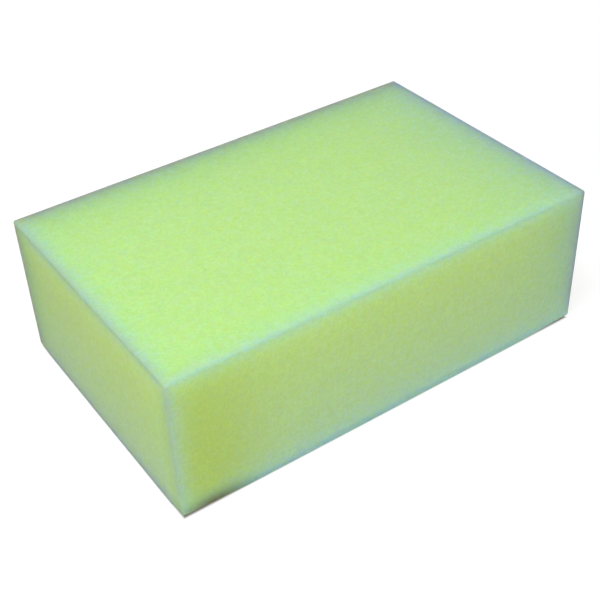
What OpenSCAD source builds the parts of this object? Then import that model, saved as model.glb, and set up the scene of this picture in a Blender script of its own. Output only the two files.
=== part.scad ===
// Grout sponge: a hand-sized block of fine-celled polyurethane foam, cut square
// from a slab and used wet to wash grout off tiles. It is one piece of foam.
//
// Frame: millimetres, +Z up. The origin is the centre of the underside, on the
// surface that the block stands on. +X runs along its length, +Y across it.

/* [Block] */
// Length of the block, along X
block_length = 180; // [120:1:240]
// Width of the block, along Y
block_width = 114.5; // [80:0.5:160]
// Height of the block, along Z
block_height = 60.5; // [30:0.5:90]

/* [Cut edges] */
// Round of the four edges of the top face, crisp from the blade
top_edge_radius = 0.8; // [0.3:0.1:4]
// Round of the four upright edges
upright_edge_radius = 1; // [0.3:0.1:6]
// Round of the four edges of the underside
base_edge_radius = 1.2; // [0.3:0.1:4]

/* [Eased corners of the underside] */
// How far each bottom corner stands clear of a flat surface
corner_lift = 1.4; // [0.4:0.1:5]
// How far along the length the lift fades out
corner_run_along = 28; // [8:1:50]
// How far across the width the lift fades out
corner_run_across = 9; // [4:1:30]

/* [Hidden] */

foam_colour = [0.74, 0.91, 0.57];
// Facets of a full turn of each round
round_facets = 64;
// How far a cutting shape reaches past the surface that it cuts
overcut = 1;

// What a round of this radius takes off an outline's square corner at x, y.
module corner_waste(x, y, radius) {
    reach = radius + overcut;
    centre = [x - sign(x) * radius, y - sign(y) * radius];
    difference() {
        translate(centre + [sign(x), sign(y)] * reach / 2)
            square(reach, center = true);
        translate(centre)
            circle(r = radius, $fn = round_facets);
    }
}

// A rectangle centred on the origin, its lower and upper corners each rounded
// to a radius of their own.
module rounded_outline(width, height, lower_radius, upper_radius) {
    difference() {
        square([width, height], center = true);
        for (side = [-1, 1]) {
            corner_waste(side * width / 2, -height / 2, lower_radius);
            corner_waste(side * width / 2, height / 2, upper_radius);
        }
    }
}

// The three views of the block, each drawn out past the block's own size along
// its line of sight. What all three share is the block with its edges rounded.
module plan_prism() {
    translate([0, 0, -overcut])
        linear_extrude(block_height + 2 * overcut)
            rounded_outline(block_length, block_width, upright_edge_radius, upright_edge_radius);
}

module front_prism() {
    translate([0, 0, block_height / 2])
        rotate([90, 0, 0])
            linear_extrude(block_width + 2 * overcut, center = true)
                rounded_outline(block_length, block_height, base_edge_radius, top_edge_radius);
}

module end_prism() {
    translate([0, 0, block_height / 2])
        rotate([90, 0, 90])
            linear_extrude(block_length + 2 * overcut, center = true)
                rounded_outline(block_width, block_height, base_edge_radius, top_edge_radius);
}

// The shallow wedge that is missing under one bottom corner. Its sloping face
// passes through three points: corner_lift up the corner's upright edge, and
// the two points of the underside's edges where the lift has faded out.
module corner_wedge(side_x, side_y) {
    slope = [-side_x / corner_run_along, -side_y / corner_run_across, 1 / corner_lift];
    tilt = atan2(norm([slope.x, slope.y]), slope.z);
    reach = 2 * (corner_run_along + corner_run_across);
    translate([side_x * block_length / 2, side_y * block_width / 2, corner_lift])
        rotate(a = tilt, v = [-slope.y, slope.x, 0])
            translate([0, 0, -reach / 2])
                cube(reach, center = true);
}

module foam_block() {
    color(foam_colour)
        difference() {
            intersection() {
                plan_prism();
                front_prism();
                end_prism();
            }
            for (side_x = [-1, 1], side_y = [-1, 1])
                corner_wedge(side_x, side_y);
        }
}

foam_block();
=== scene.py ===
from itertools import product
from math import cos, pi, radians, sin, tan

import bpy
from mathutils import Matrix, Vector, noise


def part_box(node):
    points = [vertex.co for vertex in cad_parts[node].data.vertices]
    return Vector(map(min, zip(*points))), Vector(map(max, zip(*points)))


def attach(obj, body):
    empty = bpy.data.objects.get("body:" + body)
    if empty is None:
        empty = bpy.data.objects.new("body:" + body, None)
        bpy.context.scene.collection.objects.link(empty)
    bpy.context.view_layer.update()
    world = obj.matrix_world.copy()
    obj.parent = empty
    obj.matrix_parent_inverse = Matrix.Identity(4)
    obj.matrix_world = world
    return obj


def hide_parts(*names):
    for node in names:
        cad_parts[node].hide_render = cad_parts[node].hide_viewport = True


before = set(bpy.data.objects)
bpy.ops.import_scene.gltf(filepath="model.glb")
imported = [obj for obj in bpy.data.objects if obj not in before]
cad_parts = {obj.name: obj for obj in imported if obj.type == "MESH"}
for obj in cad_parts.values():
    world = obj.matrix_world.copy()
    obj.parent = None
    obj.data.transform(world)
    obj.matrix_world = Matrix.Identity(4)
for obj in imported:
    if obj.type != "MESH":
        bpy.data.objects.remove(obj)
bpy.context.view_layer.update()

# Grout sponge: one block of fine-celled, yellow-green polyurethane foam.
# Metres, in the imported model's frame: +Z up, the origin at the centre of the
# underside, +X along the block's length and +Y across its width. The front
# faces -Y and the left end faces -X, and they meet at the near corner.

MM = 0.001
WHITE = (1, 1, 1, 1)

low_corner, high_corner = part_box("foam_block")
LENGTH, WIDTH, HEIGHT = high_corner - low_corner

# The cut edges, as the construction has them
TOP_EDGE_RADIUS = 0.8 * MM
UPRIGHT_EDGE_RADIUS = 1.0 * MM
BASE_EDGE_RADIUS = 1.2 * MM

# The eased corners of the underside
CORNER_LIFT = 1.4 * MM
CORNER_RUN_ALONG = 28 * MM
CORNER_RUN_ACROSS = 9 * MM
# How far up the sides the lift of a corner fades out
LIFT_FADE = 14 * MM

# Spacing of the mesh on the flat of a face, and rows in each half of a round
MESH_STEP = 0.95 * MM
ROUND_ROWS = 3

# The cut faces wander a little, always inwards, and their skin is uneven
WANDER_DEPTH = 0.10 * MM
WANDER_SIZE = 24 * MM
SKIN_DEPTH = 0.05 * MM
SKIN_SIZE = 3 * MM
# What tells apart the noise of the three axes, and of an axis's two faces
AXIS_SEED = 7
HIGH_FACE_SEED = 3

# Camera, fitted to the edges of the block in the photo
CAMERA_PLACE = Vector((-194.7, -293.8, 289.7)) * MM
# Degrees: its heading from +Y towards +X, how far down it looks, and its roll
CAMERA_AZIMUTH = 33.28
CAMERA_ELEVATION = 37.82
CAMERA_ROLL = -2.50
# Millimetres, as Blender's cameras have them
CAMERA_LENS = 67.78
CAMERA_SENSOR = 36.0
# The nearest and the farthest that it sees, in metres
CAMERA_NEAR = 0.01
CAMERA_FAR = 50


# ---------------------------------------------------------------- the camera

def add_camera():
    """A level camera that looks down at the block, turned by a slight roll."""
    azimuth, elevation = radians(CAMERA_AZIMUTH), radians(CAMERA_ELEVATION)
    forward = Vector((
        sin(azimuth) * cos(elevation),
        cos(azimuth) * cos(elevation),
        -sin(elevation),
    ))
    level_right = forward.cross(Vector((0, 0, 1))).normalized()
    level_up = level_right.cross(forward)
    roll = radians(CAMERA_ROLL)
    right = level_right * cos(roll) + level_up * sin(roll)
    up = right.cross(forward)

    data = bpy.data.cameras.new("camera")
    data.sensor_width = CAMERA_SENSOR
    data.lens = CAMERA_LENS
    data.clip_start = CAMERA_NEAR
    data.clip_end = CAMERA_FAR
    camera = bpy.data.objects.new("camera", data)
    axes = Matrix((right, up, -forward)).transposed()
    camera.matrix_world = Matrix.Translation(CAMERA_PLACE) @ axes.to_4x4()
    bpy.context.scene.collection.objects.link(camera)
    bpy.context.scene.camera = camera


# ----------------------------------------------------------- the foam's mesh

def grid_lines(length, low_radius, high_radius):
    """Places of the mesh's rows from 0 to length, closer round the two ends."""
    # As shares of the radius, so that the rows come out evenly round the edge
    shares = [1 - tan(pi / 4 - pi / 4 * row / ROUND_ROWS) for row in range(ROUND_ROWS)]
    low_rows = [low_radius * share for share in shares]
    high_rows = [length - high_radius * share for share in shares]
    flat = length - low_radius - high_radius
    steps = round(flat / MESH_STEP)
    middle = [low_radius + flat * step / steps for step in range(steps + 1)]
    return low_rows + middle + high_rows[::-1]


def centred_lines(length):
    """The rows between two upright edges, measured from the block's middle."""
    places = grid_lines(length, UPRIGHT_EDGE_RADIUS, UPRIGHT_EDGE_RADIUS)
    return [place - length / 2 for place in places]


def rounded_pair(a, b, half_a, half_b, radius):
    """a and b with the square corner of their outline drawn in to a round."""
    past_a = abs(a) - (half_a - radius)
    past_b = abs(b) - (half_b - radius)
    if past_a <= 0 or past_b <= 0:
        return a, b
    shrink = max(past_a, past_b) / (past_a ** 2 + past_b ** 2) ** 0.5
    new_a = half_a - radius + past_a * shrink
    new_b = half_b - radius + past_b * shrink
    return (new_a if a > 0 else -new_a), (new_b if b > 0 else -new_b)


def with_rounds(point):
    """The point of the rounded block that belongs to a point of the square one."""
    x, y = point.x, point.y
    z = point.z - HEIGHT / 2
    flat_radius = TOP_EDGE_RADIUS if z > 0 else BASE_EDGE_RADIUS
    x, z = rounded_pair(x, z, LENGTH / 2, HEIGHT / 2, flat_radius)
    y, z = rounded_pair(y, z, WIDTH / 2, HEIGHT / 2, flat_radius)
    x, y = rounded_pair(x, y, LENGTH / 2, WIDTH / 2, UPRIGHT_EDGE_RADIUS)
    return Vector((x, y, z + HEIGHT / 2))


def corner_lift(point):
    """How far the underside's nearest corner lifts the foam at this point."""
    along = (LENGTH / 2 - abs(point.x)) / CORNER_RUN_ALONG
    across = (WIDTH / 2 - abs(point.y)) / CORNER_RUN_ACROSS
    reach = max(0, 1 - along - across)
    fade = max(0, 1 - point.z / LIFT_FADE)
    return CORNER_LIFT * reach * fade


def cut_depth(point, seed):
    """How far inside the true plane the cut surface lies, at this point."""
    shift = Vector((seed, -seed, 2 * seed))
    # Noise runs from -1 to 1, and these two from 0 to 1.
    wander = 0.5 + 0.5 * noise.noise(point / WANDER_SIZE + shift)
    skin = 0.5 + 0.5 * noise.noise(point / SKIN_SIZE - shift)
    return WANDER_DEPTH * wander + SKIN_DEPTH * skin


def sunk(point):
    """The point moved inwards by the wander and the skin of the cut faces."""
    centre = Vector((0, 0, HEIGHT / 2))
    halves = Vector((LENGTH, WIDTH, HEIGHT)) / 2
    away = point - centre
    for axis in range(3):
        seed = AXIS_SEED * axis + (HIGH_FACE_SEED if away[axis] > 0 else 0)
        away[axis] *= 1 - cut_depth(point, seed) / halves[axis]
    return centre + away


def foam_mesh():
    """The closed skin of the block, as a grid on each of its six faces."""
    lines = [
        centred_lines(LENGTH),
        centred_lines(WIDTH),
        grid_lines(HEIGHT, BASE_EDGE_RADIUS, TOP_EDGE_RADIUS),
    ]
    last = [len(places) - 1 for places in lines]
    points = []
    numbers = {}

    def number(index):
        """The number of a grid point, which is made where it is first met."""
        if index not in numbers:
            square = Vector([lines[axis][index[axis]] for axis in range(3)])
            point = sunk(with_rounds(square))
            point.z += corner_lift(point)
            numbers[index] = len(points)
            points.append(point)
        return numbers[index]

    faces = []
    for axis in range(3):
        side_a, side_b = (axis + 1) % 3, (axis + 2) % 3
        for end, a, b in product((0, last[axis]), range(last[side_a]), range(last[side_b])):
            ring = []
            for step_a, step_b in ((0, 0), (1, 0), (1, 1), (0, 1)):
                index = [0, 0, 0]
                index[axis], index[side_a], index[side_b] = end, a + step_a, b + step_b
                ring.append(number(tuple(index)))
            # Seen from outside, each ring runs anticlockwise.
            faces.append(ring if end else ring[::-1])

    mesh = bpy.data.meshes.new("foam_block_skin")
    mesh.from_pydata(points, [], faces)
    mesh.shade_smooth()
    mesh.update()
    return mesh


# ------------------------------------------------------------ node shorthand

# Numbers of a Mix node's colour sockets, which share their names with others
MIX_A = 6
MIX_B = 7
MIX_RESULT = 2


class Nodes:
    """Adds shader nodes to one node tree, and joins them up."""

    def __init__(self, tree):
        self.tree = tree

    def add(self, kind, inputs=None, **settings):
        """A new node with these settings, and with its inputs fed."""
        node = self.tree.nodes.new(kind)
        for name, value in settings.items():
            setattr(node, name, value)
        for name, value in (inputs or {}).items():
            self.feed(node.inputs[name], value)
        return node

    def feed(self, socket, value):
        """Links a socket to another node's output, or sets it to a value."""
        if isinstance(value, bpy.types.NodeSocket):
            self.tree.links.new(value, socket)
        else:
            socket.default_value = value

    def math(self, operation, *values):
        """A math operation's result."""
        node = self.add("ShaderNodeMath", dict(enumerate(values)), operation=operation)
        return node.outputs["Value"]

    def vector(self, operation, *values):
        """A vector operation's result: a vector, or a number for a length."""
        node = self.add("ShaderNodeVectorMath", dict(enumerate(values)), operation=operation)
        return node.outputs["Value" if operation == "LENGTH" else "Vector"]

    def mix(self, share, a, b):
        """The colour a with this share of the colour b laid over it."""
        node = self.add("ShaderNodeMix", {"Factor": share, MIX_A: a, MIX_B: b}, data_type="RGBA")
        return node.outputs[MIX_RESULT]

    def noise(self, place, size):
        """Noise whose blotches are about this size, in metres."""
        return self.add("ShaderNodeTexNoise", {"Vector": place, "Scale": 1 / size})

    def ramp(self, value, start, end, low=0.0, high=1.0):
        """Goes smoothly from low to high while the value goes from start to end."""
        node = self.add(
            "ShaderNodeMapRange",
            {"Value": value, "From Min": start, "From Max": end, "To Min": low, "To Max": high},
            interpolation_type="SMOOTHSTEP",
        )
        return node.outputs["Result"]


# -------------------------------------------------------- the foam's material

# The tints of the foam, several of them painted light and shade, as linear colours, fitted to the
# photo's and rounded.
# Each is laid over those above it.
CORE_COLOUR = (0.41, 0.635, 0.21, 1)  # deep in a face
LOWER_SHADE_COLOUR = (0.38, 0.57, 0.27, 1)  # painted shade, darker more and more towards the base
RIM_COLOUR = (0.36, 0.615, 0.215, 1)  # along the rims of every face
LIT_THROUGH_COLOUR = (0.47, 0.625, 0.18, 1)  # where light comes through from the top
FAR_RIM_SHADE_COLOUR = (0.29, 0.515, 0.205, 1)  # painted shade along the rims at the back and the right
RIGHT_END_SHADE_COLOUR = (0.335, 0.53, 0.305, 1)  # painted shade, darker and bluer towards the right end
BASE_BOUNCE_LIGHT_COLOUR = (0.38, 0.55, 0.365, 1)  # painted bounce light from the floor, bluer along the base
NEAR_END_WARM_LIGHT_COLOUR = (0.375, 0.525, 0.115, 1)  # painted light, yellower towards the near end of the front
EDGE_COLOUR = (0.3, 0.5, 0.44, 1)  # at the cut edges
LINE_COLOUR = (0.21, 0.4, 0.12, 1)  # on the line of an edge itself
BACK_EDGE_SHADE_COLOUR = (0.155, 0.165, 0.19, 1)  # painted shade, dark at the edges of the back
RIGHT_EDGE_SHADE_COLOUR = (0.145, 0.215, 0.345, 1)  # painted shade, dark blue at the edges of the right end
LEFT_EDGE_SHADE_COLOUR = (0.27, 0.405, 0.28, 1)  # painted shade, darker at the edges of the left end
FOOT_BOUNCE_LIGHT_COLOUR = (0.36, 0.88, 0.5, 1)  # painted bounce light from the floor at the foot of the front
NEAR_FOOT_SHADOW_COLOUR = (0.08, 0.045, 0.02, 1)  # where the foam is brown with dirt

# How far from its edge each tint fades to about a third
RIM_REACH = 8 * MM
FAR_RIM_SHADE_REACH = 12 * MM
RIGHT_END_SHADE_REACH = 18 * MM
BASE_BOUNCE_LIGHT_REACH = 12 * MM
EDGE_REACH = 3 * MM
LINE_REACH = 0.5 * MM
BACK_EDGE_SHADE_REACH = 4 * MM
RIGHT_EDGE_SHADE_REACH = 3 * MM
LEFT_EDGE_SHADE_REACH = 2 * MM
# On the sides, the light from the top face sets in over the first of these
# depths below it, and fades over the second
LIT_THROUGH_START = 3 * MM
LIT_THROUGH_REACH = 14 * MM
# How high the painted bounce light at the foot reaches, and how far in from the front
FOOT_BOUNCE_LIGHT_REACH = 3.6 * MM
FOOT_BOUNCE_LIGHT_DEPTH = 5 * MM
# On the back and the right faces themselves, the tints of their rims, painted shade, fade this
# many times as fast
OWN_FACE_HASTE = 4

# Painted light makes the near end of the front yellower, and a painted shadow darkens its near
# corner at the foot: the middle of each patch, and its reach along each axis
NEAR_END_WARM_LIGHT_PLACE = Vector((-84, -57, 20)) * MM
NEAR_END_WARM_LIGHT_REACH = Vector((18, 4, 42)) * MM
# The painted shadow at the foot of the near corner
NEAR_FOOT_SHADOW_PLACE = Vector((-78, -57, 0)) * MM
NEAR_FOOT_SHADOW_REACH = Vector((10, 4, 3.6)) * MM

# The cells of the foam show as a fine grain, and small clumps of them differ a
# little in tint: sizes, and how much the colour varies
CELL_SIZE = 0.8 * MM
CELL_SHADE = 0.24
CLUMP_SIZE = 2.2 * MM
CLUMP_TINT = Vector((0.22, 0.10, 0.80))
# How strongly the cells catch the light, and how deep they seem
CELL_BUMP = 0.3
CELL_DEPTH = 0.15 * MM

FOAM_ROUGHNESS = 0.95
FOAM_SHINE = 0.15

# How far light travels in the foam, blue being taken up soonest, and the strip
# along each cut edge where less of it scatters
SCATTER_DEPTH = 22 * MM
SCATTER_COLOUR = (1.0, 1.0, 0.2)
THIN_EDGE = 1.0 * MM


def edge_distance(nodes, axes):
    """Distance along the surface from a point to the nearest cut edge."""
    inside_x = nodes.math("SUBTRACT", LENGTH / 2, nodes.math("ABSOLUTE", axes["X"]))
    inside_y = nodes.math("SUBTRACT", WIDTH / 2, nodes.math("ABSOLUTE", axes["Y"]))
    above = nodes.math("SUBTRACT", axes["Z"], HEIGHT / 2)
    inside_z = nodes.math("SUBTRACT", HEIGHT / 2, nodes.math("ABSOLUTE", above))
    # On a face one of the three is nought, so the middle one is the distance.
    least_xy = nodes.math("MINIMUM", inside_x, inside_y)
    most_xy = nodes.math("MAXIMUM", inside_x, inside_y)
    return nodes.math("MAXIMUM", least_xy, nodes.math("MINIMUM", most_xy, inside_z))


def fading(nodes, distance, reach):
    """1 where the distance is nought, fading to about a third at the reach."""
    return nodes.math("EXPONENT", nodes.math("DIVIDE", distance, -reach))


def rim_distance(nodes, distance, from_face):
    """How far a point on the faces beside one face is from that face.

    On that face itself it is the distance to its edges, times OWN_FACE_HASTE.
    """
    farther = nodes.math("MAXIMUM", distance, from_face)
    hastened = nodes.math("MULTIPLY", farther, OWN_FACE_HASTE)
    return nodes.math("SUBTRACT", hastened, nodes.math("MULTIPLY", from_face, OWN_FACE_HASTE - 1))


def patch(nodes, place, middle, reach):
    """A bell curve: 1 in the middle of a patch, about 0.6 at its reach."""
    offset = nodes.vector("SUBTRACT", place, middle)
    away = nodes.vector("LENGTH", nodes.vector("DIVIDE", offset, reach))
    return nodes.math("EXPONENT", nodes.math("MULTIPLY", nodes.math("POWER", away, 2), -0.5))


def grain(nodes, place):
    """What the cells and clumps of cells multiply the foam's colour by."""
    clumps = nodes.noise(place, CLUMP_SIZE).outputs["Color"]
    cells = nodes.noise(place, CELL_SIZE).outputs["Fac"]
    tint = nodes.vector("MULTIPLY_ADD", clumps, CLUMP_TINT, Vector((1, 1, 1)) - CLUMP_TINT / 2)
    shade = nodes.math("MULTIPLY_ADD", cells, CELL_SHADE, 1 - CELL_SHADE / 2)
    return nodes.vector("MULTIPLY", tint, shade)


def foam_colour(nodes, place, axes, distance):
    """The foam's base colour, with its tints, its painted light and shade, and its grain."""
    from_left = nodes.math("ADD", LENGTH / 2, axes["X"])
    from_right = nodes.math("SUBTRACT", LENGTH / 2, axes["X"])
    from_front = nodes.math("ADD", WIDTH / 2, axes["Y"])
    from_back = nodes.math("SUBTRACT", WIDTH / 2, axes["Y"])
    below_top = nodes.math("SUBTRACT", HEIGHT, axes["Z"])

    left_rim = nodes.math("MAXIMUM", distance, from_left)
    right_rim = rim_distance(nodes, distance, from_right)
    back_rim = rim_distance(nodes, distance, from_back)
    far_rim = nodes.math("MINIMUM", back_rim, right_rim)

    shade_towards_base = nodes.math("SUBTRACT", 1, nodes.math("DIVIDE", axes["Z"], HEIGHT))
    past_edge = nodes.math("SUBTRACT", 1, fading(nodes, below_top, LIT_THROUGH_START))
    lit_through = nodes.math("MULTIPLY", past_edge, fading(nodes, below_top, LIT_THROUGH_REACH))
    low = fading(nodes, axes["Z"], FOOT_BOUNCE_LIGHT_REACH)
    foot_bounce_light = nodes.math("MULTIPLY", low, fading(nodes, from_front, FOOT_BOUNCE_LIGHT_DEPTH))

    colour = CORE_COLOUR
    for share, tint in (
        # painted shade, darker towards the base
        (shade_towards_base, LOWER_SHADE_COLOUR),
        (fading(nodes, distance, RIM_REACH), RIM_COLOUR),
        (lit_through, LIT_THROUGH_COLOUR),
        # painted shade along the rims at the back and the right
        (fading(nodes, far_rim, FAR_RIM_SHADE_REACH), FAR_RIM_SHADE_COLOUR),
        # painted shade, darker and bluer towards the right end
        (fading(nodes, right_rim, RIGHT_END_SHADE_REACH), RIGHT_END_SHADE_COLOUR),
        # painted bounce light from the floor, bluer along the base
        (fading(nodes, axes["Z"], BASE_BOUNCE_LIGHT_REACH), BASE_BOUNCE_LIGHT_COLOUR),
        # painted light, yellower towards the near end of the front
        (patch(nodes, place, NEAR_END_WARM_LIGHT_PLACE, NEAR_END_WARM_LIGHT_REACH), NEAR_END_WARM_LIGHT_COLOUR),
        (fading(nodes, distance, EDGE_REACH), EDGE_COLOUR),
        (fading(nodes, distance, LINE_REACH), LINE_COLOUR),
        # painted shade, dark at the edges of the back
        (fading(nodes, back_rim, BACK_EDGE_SHADE_REACH), BACK_EDGE_SHADE_COLOUR),
        # painted shade, dark blue at the edges of the right end
        (fading(nodes, right_rim, RIGHT_EDGE_SHADE_REACH), RIGHT_EDGE_SHADE_COLOUR),
        # painted shade, darker at the edges of the left end
        (fading(nodes, left_rim, LEFT_EDGE_SHADE_REACH), LEFT_EDGE_SHADE_COLOUR),
        # painted bounce light from the floor at the foot of the front
        (foot_bounce_light, FOOT_BOUNCE_LIGHT_COLOUR),
        # painted shadow, dark at the foot of the near corner
        (patch(nodes, place, NEAR_FOOT_SHADOW_PLACE, NEAR_FOOT_SHADOW_REACH), NEAR_FOOT_SHADOW_COLOUR),
    ):
        colour = nodes.mix(share, colour, tint)
    return nodes.vector("MULTIPLY", colour, grain(nodes, place))


def foam_material():
    """Matt foam with small cells, which lets light scatter inside it."""
    material = bpy.data.materials.new("foam")
    material.use_nodes = True
    material.node_tree.nodes.clear()
    nodes = Nodes(material.node_tree)
    place = nodes.add("ShaderNodeTexCoord").outputs["Object"]
    axes = nodes.add("ShaderNodeSeparateXYZ", {"Vector": place}).outputs
    distance = edge_distance(nodes, axes)

    cells = nodes.add("ShaderNodeTexVoronoi", {"Vector": place, "Scale": 1 / CELL_SIZE})
    bump = nodes.add(
        "ShaderNodeBump",
        {"Height": cells.outputs["Distance"], "Strength": CELL_BUMP, "Distance": CELL_DEPTH},
    )
    shader = nodes.add(
        "ShaderNodeBsdfPrincipled",
        {
            "Base Color": foam_colour(nodes, place, axes, distance),
            "Roughness": FOAM_ROUGHNESS,
            "Specular IOR Level": FOAM_SHINE,
            "Subsurface Weight": nodes.math("SUBTRACT", 1, fading(nodes, distance, THIN_EDGE)),
            "Subsurface Radius": SCATTER_COLOUR,
            "Subsurface Scale": SCATTER_DEPTH,
            "Normal": bump.outputs["Normal"],
        },
    )
    nodes.add("ShaderNodeOutputMaterial", {"Surface": shader.outputs["BSDF"]})
    return material


def add_foam():
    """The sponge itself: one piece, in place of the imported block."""
    foam = bpy.data.objects.new("foam_sponge", foam_mesh())
    bpy.context.scene.collection.objects.link(foam)
    foam.data.materials.append(foam_material())
    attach(foam, "root")
    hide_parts("foam_block")


# ------------------------------------------------------- the floor and lights

# The floor is paper on a light table: to the camera it is white all over, and
# the foam gets only a little light back from it
FLOOR_BOUNCE_COLOUR = (0.40, 0.40, 0.40, 1)
FLOOR_SEEN_COLOUR = (0.30, 0.30, 0.30, 1)
FLOOR_ROUGHNESS = 0.9
FLOOR_SHINE = 0.1
FLOOR_HALF_SIZE = 6.0
# Its glow near the block and far off, and between which distances it grows
FLOOR_GLOW_NEAR = 0.75
FLOOR_GLOW_FAR = 1.0
FLOOR_GLOW_START = 0.15
FLOOR_GLOW_END = 0.9
# How far under the block the glow of the paper dies away
CONTACT_SHADE = 1.5 * MM

# The even light from all round
STUDIO_COLOUR = (0.20, 0.20, 0.20, 1)

# Soft boxes: name, place and size in metres, power in watts, and colour. All
# but the one at the back were fitted to the light in the photo.
SOFT_BOXES = [
    ("key", (-0.20, -0.10, 0.60), 0.30, 2.7, (0.75, 0.88, 1.0)),
    ("window", (-0.60, -0.90, 0.90), 0.60, 7.6, (1.0, 0.88, 0.75)),
    ("left_fill", (-1.20, -0.25, 0.45), 0.60, 4.0, (1.0, 0.88, 0.75)),
    ("front_fill", (-0.10, -1.25, 0.40), 0.60, 5.0, (0.9, 0.88, 1.0)),
    ("camera_side", (-0.20, -0.30, 0.32), 0.08, 0.16, (1.0, 0.92, 0.88)),
    ("back_fill", (0.90, 1.10, 0.18), 0.80, 8.0, (1.0, 0.94, 0.88)),
]


def floor_glow(nodes):
    """How strongly the paper glows: most far from the block, and not under it."""
    place = nodes.add("ShaderNodeTexCoord").outputs["Object"]
    axes = nodes.add("ShaderNodeSeparateXYZ", {"Vector": place}).outputs
    away = nodes.vector("LENGTH", place)
    glow = nodes.ramp(away, FLOOR_GLOW_START, FLOOR_GLOW_END, FLOOR_GLOW_NEAR, FLOOR_GLOW_FAR)
    past_ends = nodes.math("SUBTRACT", nodes.math("ABSOLUTE", axes["X"]), LENGTH / 2)
    past_sides = nodes.math("SUBTRACT", nodes.math("ABSOLUTE", axes["Y"]), WIDTH / 2)
    past_block = nodes.math("MAXIMUM", past_ends, past_sides)
    return nodes.math("MULTIPLY", nodes.ramp(past_block, -CONTACT_SHADE, 0.0), glow)


def floor_material():
    """Paper that is white to the camera and greyer to the foam."""
    material = bpy.data.materials.new("floor_paper")
    material.use_nodes = True
    nodes = Nodes(material.node_tree)
    seen = nodes.add("ShaderNodeLightPath").outputs["Is Camera Ray"]
    sockets = material.node_tree.nodes["Principled BSDF"].inputs
    nodes.feed(sockets["Base Color"], nodes.mix(seen, FLOOR_BOUNCE_COLOUR, FLOOR_SEEN_COLOUR))
    nodes.feed(sockets["Emission Color"], WHITE)
    nodes.feed(sockets["Emission Strength"], nodes.math("MULTIPLY", seen, floor_glow(nodes)))
    nodes.feed(sockets["Roughness"], FLOOR_ROUGHNESS)
    nodes.feed(sockets["Specular IOR Level"], FLOOR_SHINE)
    return material


def add_floor():
    half = FLOOR_HALF_SIZE
    mesh = bpy.data.meshes.new("floor")
    corners = [(-half, -half, 0), (half, -half, 0), (half, half, 0), (-half, half, 0)]
    mesh.from_pydata(corners, [], [(0, 1, 2, 3)])
    mesh.materials.append(floor_material())
    floor = bpy.data.objects.new("floor", mesh)
    bpy.context.scene.collection.objects.link(floor)


def add_soft_box(name, place, size, power, colour):
    """A square area light of this size and power that faces the block."""
    data = bpy.data.lights.new(name, "AREA")
    data.shape = "SQUARE"
    data.size = size
    data.energy = power
    data.color = colour
    light = bpy.data.objects.new(name, data)
    light.location = place
    aim = Vector((0, 0, HEIGHT / 2)) - Vector(place)
    light.rotation_mode = "QUATERNION"
    light.rotation_quaternion = aim.to_track_quat("-Z", "Y")
    bpy.context.scene.collection.objects.link(light)


def add_studio_light():
    """Even light from all round; to the camera the studio itself is white."""
    world = bpy.data.worlds.new("studio")
    world.use_nodes = True
    nodes = Nodes(world.node_tree)
    seen = nodes.add("ShaderNodeLightPath").outputs["Is Camera Ray"]
    background = world.node_tree.nodes["Background"]
    nodes.feed(background.inputs["Color"], nodes.mix(seen, STUDIO_COLOUR, WHITE))
    bpy.context.scene.world = world


def add_lights():
    add_studio_light()
    for soft_box in SOFT_BOXES:
        add_soft_box(*soft_box)
    bpy.context.scene.view_settings.view_transform = "Standard"


add_camera()
add_foam()
add_floor()
add_lights()
